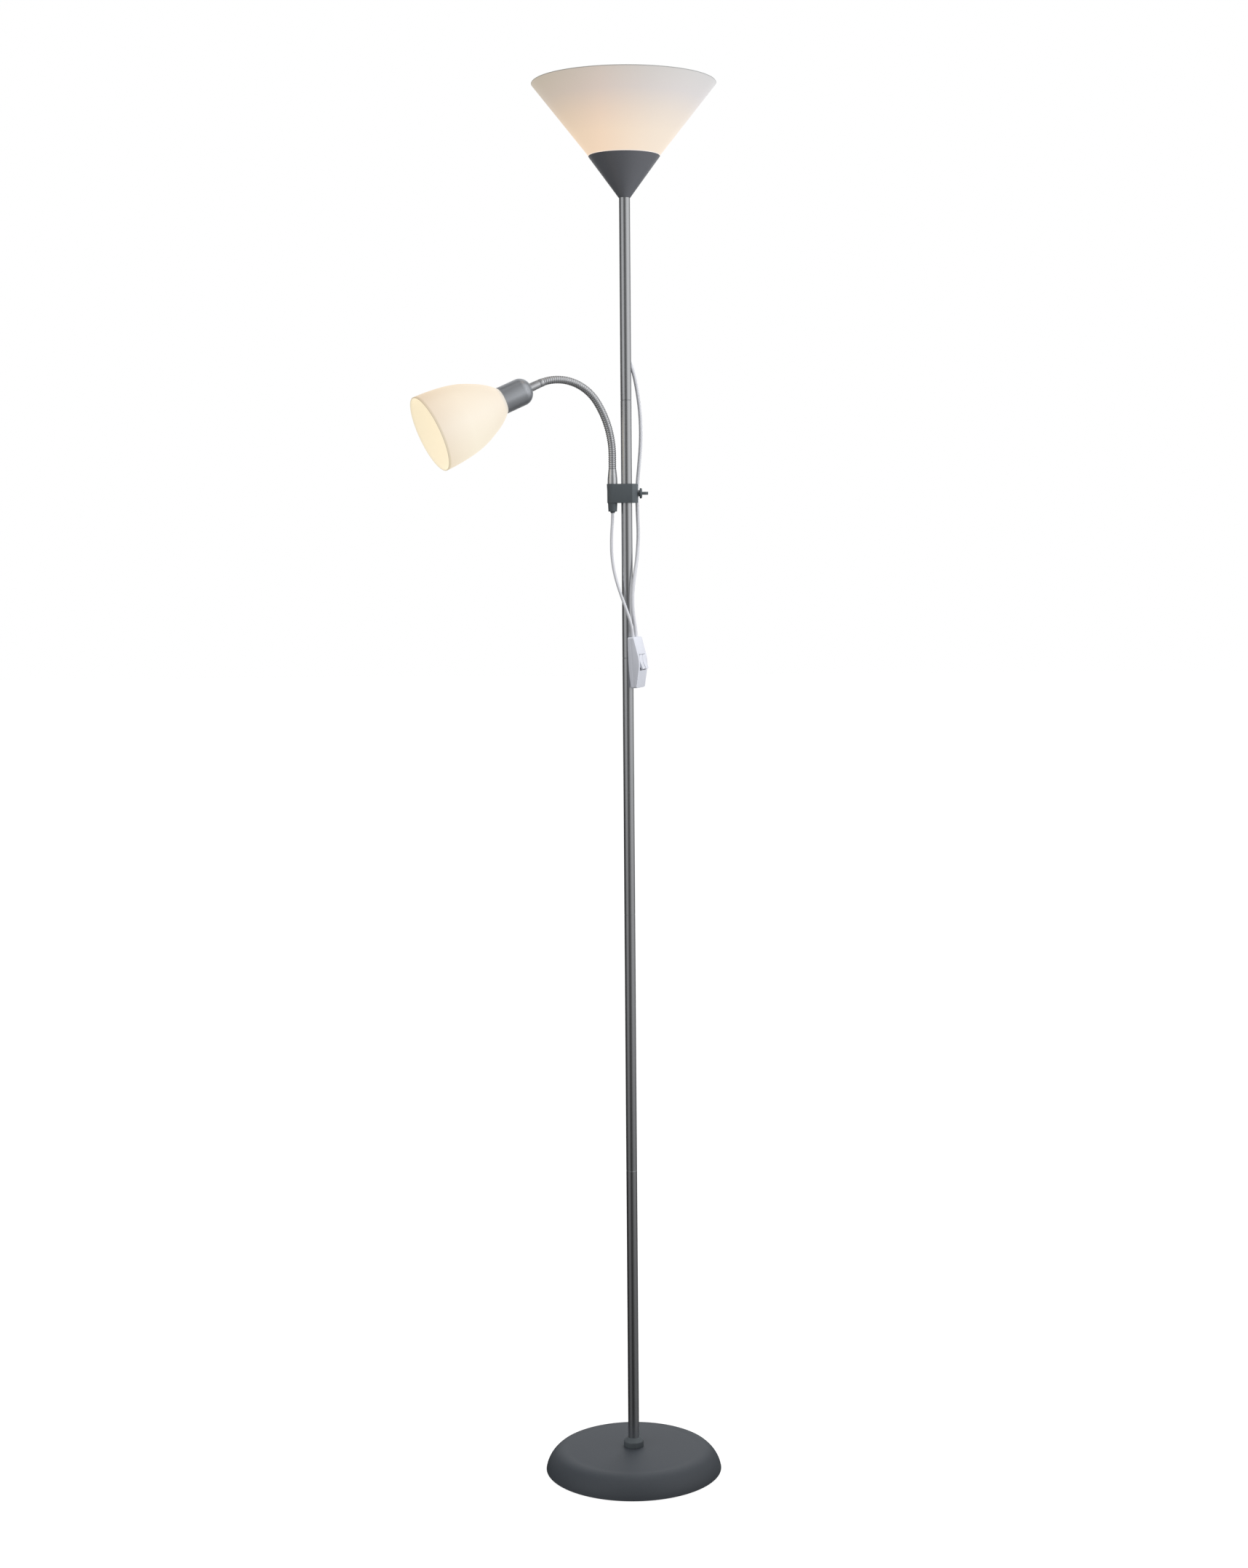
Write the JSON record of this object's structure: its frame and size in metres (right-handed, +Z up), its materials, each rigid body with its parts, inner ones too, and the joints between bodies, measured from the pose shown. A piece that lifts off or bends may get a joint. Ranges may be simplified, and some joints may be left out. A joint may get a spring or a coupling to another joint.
{
  "type": "torchiere floor lamp with reading light",
  "caption": "Tall uplighter floor lamp with a conical bowl, sectional pole, round weighted base, clamped goose-neck reading light and cord rocker switch.",
  "frame": {"origin": "centre of the round base's underside, on the floor", "axes": "+Z up the pole; -Y towards the front, with the reading light on the -X side, turned towards the front"},
  "size_m": [0.3888, 0.2506, 1.78],
  "materials": {
    "charcoal_paint": "satin powder coat",
    "iron": "rough casting",
    "foot_rubber": "matt",
    "zinc_steel": "zinc plated",
    "charcoal_plastic": "satin moulding",
    "silver_paint": "metallic silver paint",
    "silver_neck": "satin plated",
    "grey_plastic": "satin moulding",
    "opal": "frosted opal white",
    "bulb_glass": "frosted",
    "bulb_cap_metal": "bright",
    "holder_plastic": "thermoset white",
    "contact_brass": "plain",
    "liner_plastic": "natural nylon",
    "cord_pvc": "smooth light grey",
    "switch_plastic": "light grey moulding"
  },
  "bodies": {
    "stand": {"base_shell": "charcoal_paint", "base_weight": "iron", "base_pad": "foot_rubber", "base_washer": "zinc_steel", "base_collar": "charcoal_plastic", "mains_inlet_grommet": "foot_rubber", "nipple_nuts": "zinc_steel", "threaded_nipples": "zinc_steel", "pole_joiners": "zinc_steel", "pole_inserts": "zinc_steel", "pole_cable": "cord_pvc", "upper_cable": "cord_pvc", "top_cup": "grey_plastic", "top_lampholder": "holder_plastic", "top_lampholder_contacts": "contact_brass", "top_shade": "opal", "top_shade_ring": "holder_plastic", "top_bulb_glass": "bulb_glass", "top_bulb_cap": "bulb_cap_metal", "upper_cord": "cord_pvc", "pole_section_1": "silver_paint", "pole_section_2": "silver_paint", "pole_section_3": "silver_paint", "pole_section_4": "silver_paint", "pole_section_5": "silver_paint"},
    "slider": {"clamp_liner": "liner_plastic", "switch_front": "switch_plastic", "switch_back": "switch_plastic", "rocker_axle": "zinc_steel", "switch_contacts": "contact_brass", "switch_screws": "zinc_steel"},
    "rocker_upper": {"rocker_upper_light": "switch_plastic"},
    "rocker_reading": {"rocker_reading_light": "switch_plastic"},
    "clamp": {"clamp_block": "charcoal_plastic", "neck_foot_ferrule": "silver_neck", "cord_bush": "charcoal_plastic", "reading_cord": "cord_pvc", "neck_cable": "cord_pvc"},
    "pad": {"screw_pad": "contact_brass"},
    "thumb_screw": {"thumb_screw_knob": "charcoal_plastic", "thumb_screw_stud": "zinc_steel"},
    "neck_1": {"neck_link_1": "silver_neck"},
    "neck_2": {"neck_link_2": "silver_neck"},
    "neck_3": {"neck_link_3": "silver_neck"},
    "neck_4": {"neck_link_4": "silver_neck"},
    "neck_5": {"neck_link_5": "silver_neck"},
    "neck_6": {"neck_link_6": "silver_neck"},
    "neck_7": {"neck_link_7": "silver_neck"},
    "neck_8": {"neck_link_8": "silver_neck"},
    "head": {"neck_head_ferrule": "silver_neck", "reading_cover": "silver_paint", "reading_lampholder": "holder_plastic", "reading_lampholder_contacts": "contact_brass", "reading_shade": "opal", "reading_shade_ring": "holder_plastic", "reading_bulb_glass": "bulb_glass", "reading_bulb_cap": "bulb_cap_metal"}
  },
  "joints": [
    {"name": "clamp_slide", "type": "slide", "parent": "stand", "child": "slider", "axis": [0, 0, 1], "range_m": [-0.015, 0.12], "deforming": ["upper_cord"]},
    {"name": "clamp_swivel", "type": "hinge", "parent": "slider", "child": "clamp", "pos_m": [0, 0, 1.25665], "axis": [0, 0, 1], "range_deg": [-90, 90], "deforming": ["reading_cord", "upper_cord"]},
    {"name": "screw_travel", "type": "slide", "parent": "clamp", "child": "pad", "axis": [1, 0, 0], "range_m": [0, 0.0012]},
    {"name": "screw_turn", "type": "hinge", "parent": "pad", "child": "thumb_screw", "pos_m": [0.015, 0, 1.25665], "axis": [1, 0, 0], "range_deg": [0, 540]},
    {"name": "upper_light_rocker", "type": "hinge", "parent": "slider", "child": "rocker_upper", "pos_m": [0.01801, -0.0182, 1.04132], "axis": [-0.4219, -0.9063, -0.0243], "range_deg": [-24, 0]},
    {"name": "reading_light_rocker", "type": "hinge", "parent": "slider", "child": "rocker_reading", "pos_m": [0.01801, -0.0182, 1.04132], "axis": [-0.4219, -0.9063, -0.0243], "range_deg": [-24, 0]},
    {"name": "neck_sway_foot", "type": "hinge", "parent": "clamp", "child": "neck_1", "pos_m": [-0.018, 0, 1.2877], "axis": [-0.9361, -0.3518, 0], "range_deg": [-12, 12], "deforming": ["neck_cable"]},
    {"name": "neck_bend_1", "type": "hinge", "parent": "neck_1", "child": "neck_2", "pos_m": [-0.0181, -0.00004, 1.30982], "axis": [0.3518, -0.9361, 0], "range_deg": [-4, 4], "deforming": ["neck_cable"]},
    {"name": "neck_bend_2", "type": "hinge", "parent": "neck_2", "child": "neck_3", "pos_m": [-0.02079, -0.00105, 1.33173], "axis": [0.3518, -0.9361, 0], "range_deg": [-6, 6], "deforming": ["neck_cable"]},
    {"name": "neck_bend_3", "type": "hinge", "parent": "neck_3", "child": "neck_4", "pos_m": [-0.02704, -0.0034, 1.35279], "axis": [0.3518, -0.9361, 0], "range_deg": [-8, 8], "deforming": ["neck_cable"]},
    {"name": "neck_bend_4", "type": "hinge", "parent": "neck_4", "child": "neck_5", "pos_m": [-0.03667, -0.00702, 1.37234], "axis": [0.3518, -0.9361, 0], "range_deg": [-10, 10], "deforming": ["neck_cable"]},
    {"name": "neck_bend_5", "type": "hinge", "parent": "neck_5", "child": "neck_6", "pos_m": [-0.05068, -0.01228, 1.38847], "axis": [0.3518, -0.9361, 0], "range_deg": [-10, 10], "deforming": ["neck_cable"]},
    {"name": "neck_bend_6", "type": "hinge", "parent": "neck_6", "child": "neck_7", "pos_m": [-0.06908, -0.0192, 1.39836], "axis": [0.3518, -0.9361, 0], "range_deg": [-10, 10], "deforming": ["neck_cable"]},
    {"name": "neck_bend_7", "type": "hinge", "parent": "neck_7", "child": "neck_8", "pos_m": [-0.08955, -0.02689, 1.40077], "axis": [0.3518, -0.9361, 0], "range_deg": [-10, 10], "deforming": ["neck_cable"]},
    {"name": "neck_sway_head", "type": "hinge", "parent": "neck_8", "child": "head", "pos_m": [-0.10952, -0.0344, 1.39538], "axis": [-0.3867, -0.1453, 0.9107], "range_deg": [-12, 12], "deforming": ["neck_cable"]}
  ],
  "couplings": [
    {"joint": "screw_turn", "follows": "screw_travel", "rad_per_m": 7854}
  ]
}
